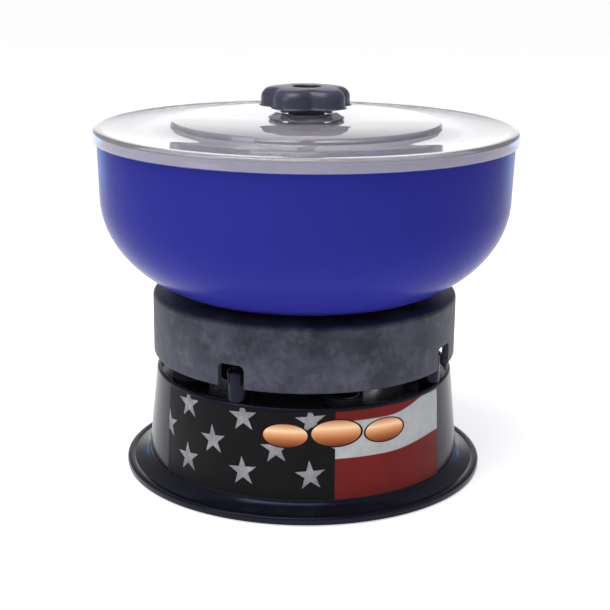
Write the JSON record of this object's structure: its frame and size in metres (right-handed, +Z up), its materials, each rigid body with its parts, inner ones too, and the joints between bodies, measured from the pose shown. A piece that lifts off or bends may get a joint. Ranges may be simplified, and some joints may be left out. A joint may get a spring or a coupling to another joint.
{
  "type": "vibratory rock tumbler",
  "caption": "Bench-top vibratory bowl tumbler: clear lid with star knob, blue centre-post bowl, sprung motor housing and tapered black base.",
  "frame": {"origin": "centre of the bounding box's bottom face, on the surface that the rubber feet stand on, on the bowl's axis", "axes": "+Z up along the bowl and motor axis, front (middle of the label) towards -Y, +X to the right seen from the front"},
  "size_m": [0.2995, 0.2996, 0.2754],
  "materials": {
    "base_black": "glossy black moulded plastic",
    "label_film": "printed film, dark field with pale stars and muted red and white bands",
    "zinc_steel": "zinc-plated sheet",
    "screw_steel": "zinc-plated",
    "rubber_black": "matte rubber",
    "spring_steel": "spring wire",
    "housing_charcoal": "satin charcoal moulding with scuffs",
    "cast_alloy": "die-cast",
    "lamination_steel": "stacked laminations",
    "winding_enamel": "enamelled copper wire, taped and varnished",
    "bearing_steel": "ground steel",
    "terminal_plastic": "moulded insulation",
    "brass": "turned brass",
    "shaft_steel": "ground steel",
    "weight_iron": "cast",
    "fan_plastic": "moulded",
    "stud_steel": "threaded rod",
    "bowl_blue": "saturated blue moulding, satin to glossy",
    "lid_clear": "clear moulded plastic",
    "knob_grey": "dark grey moulding"
  },
  "bodies": {
    "base": {"base_shell": "base_black", "base_label": "label_film", "bottom_plate": "zinc_steel", "bottom_plate_screws": "screw_steel", "rubber_feet": "rubber_black", "cord_grommet": "rubber_black", "lower_spring_cups": "rubber_black"},
    "front_back_springs": {"spring_front": "spring_steel", "spring_back": "spring_steel"},
    "side_springs": {"spring_left": "spring_steel", "spring_right": "spring_steel"},
    "drive_unit": {"upper_spring_cups": "rubber_black", "drive_housing": "housing_charcoal", "seat_pad": "rubber_black", "motor_upper_bracket": "cast_alloy", "motor_lower_bracket": "cast_alloy", "stator_core": "lamination_steel", "stator_windings": "winding_enamel", "upper_bearing": "bearing_steel", "lower_bearing": "bearing_steel", "motor_bolts": "screw_steel", "motor_mount_screws": "screw_steel", "terminal_block": "terminal_plastic", "terminal_screws": "brass", "stud_washer": "screw_steel", "stud_nut": "screw_steel", "centre_stud": "stud_steel"},
    "rotor": {"motor_shaft": "shaft_steel", "rotor_core": "lamination_steel", "eccentric_weight": "weight_iron", "weight_set_screw": "screw_steel", "cooling_fan": "fan_plastic"},
    "bowl": {"bowl": "bowl_blue"},
    "lid": {"lid": "lid_clear"},
    "knob_carrier": {"knob_washer": "screw_steel"},
    "knob": {"knob": "knob_grey", "knob_insert": "brass"}
  },
  "joints": [
    {"name": "bounce", "type": "slide", "parent": "base", "child": "front_back_springs", "axis": [0, 0, 1], "range_m": [-0.0035, 0.0025], "stiffness_N_per_m": 12000, "springref_m": 0.00292, "deforming": ["spring_front", "spring_right", "spring_back", "spring_left"]},
    {"name": "rock_front_back", "type": "hinge", "parent": "front_back_springs", "child": "side_springs", "pos_m": [0, 0, 0.098], "axis": [1, 0, 0], "range_deg": [-1, 1], "stiffness_Nm_per_rad": 43},
    {"name": "rock_side", "type": "hinge", "parent": "side_springs", "child": "drive_unit", "pos_m": [0, 0, 0.098], "axis": [0, 1, 0], "range_deg": [-1, 1], "stiffness_Nm_per_rad": 43},
    {"name": "rotor_spin", "type": "hinge", "parent": "drive_unit", "child": "rotor", "pos_m": [0, 0, 0.08], "axis": [0, 0, 1], "continuous": true},
    {"name": "bowl_lift", "type": "slide", "parent": "drive_unit", "child": "bowl", "axis": [0, 0, 1], "range_m": [0, 0.14]},
    {"name": "lid_lift", "type": "slide", "parent": "bowl", "child": "lid", "axis": [0, 0, 1], "range_m": [0, 0.06]},
    {"name": "knob_lift", "type": "slide", "parent": "lid", "child": "knob_carrier", "axis": [0, 0, 1], "range_m": [0, 0.0126]},
    {"name": "knob_turn", "type": "hinge", "parent": "knob_carrier", "child": "knob", "pos_m": [0, 0, 0.265], "axis": [0, 0, 1], "range_deg": [0, 3600]}
  ],
  "couplings": [
    {"joint": "knob_lift", "follows": "knob_turn", "m_per_rad": 0.00019894}
  ]
}
